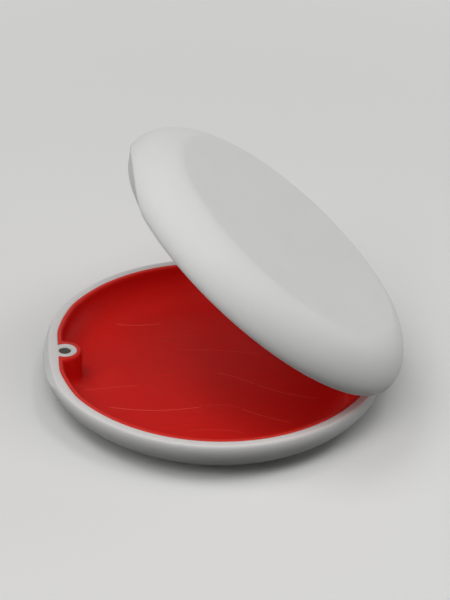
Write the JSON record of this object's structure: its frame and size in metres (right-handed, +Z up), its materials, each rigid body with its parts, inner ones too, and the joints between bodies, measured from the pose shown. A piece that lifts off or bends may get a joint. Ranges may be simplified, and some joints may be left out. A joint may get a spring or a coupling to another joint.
{
  "type": "orthodontic retainer case",
  "caption": "Round, pebble-shaped clamshell case with lined trays, a sunk rear hinge and a magnet catch, for carrying a dental retainer or aligner.",
  "frame": {"origin": "centre of the flat face that the base rests on", "axes": "+Z up, the front with the magnet catch and thumb facets towards -Y, the hinge towards +Y with its axis along X"},
  "size_m": [0.086, 0.0895, 0.0652],
  "materials": {
    "white_shell": "matte moulded white",
    "red_liner": "satin moulded red",
    "magnet": "dark plated disc",
    "pin_steel": "plain drawn pin"
  },
  "bodies": {
    "base": {"base_shell": "white_shell", "base_liner": "red_liner", "base_magnet": "magnet", "hinge_pin": "pin_steel"},
    "lid": {"lid_shell": "white_shell", "lid_liner": "red_liner", "lid_magnet": "magnet"}
  },
  "joints": [
    {"name": "lid_hinge", "type": "hinge", "parent": "base", "child": "lid", "pos_m": [0, 0.0378, 0.0077], "axis": [-1, 0, 0], "range_deg": [-38.5, 56.5]}
  ]
}
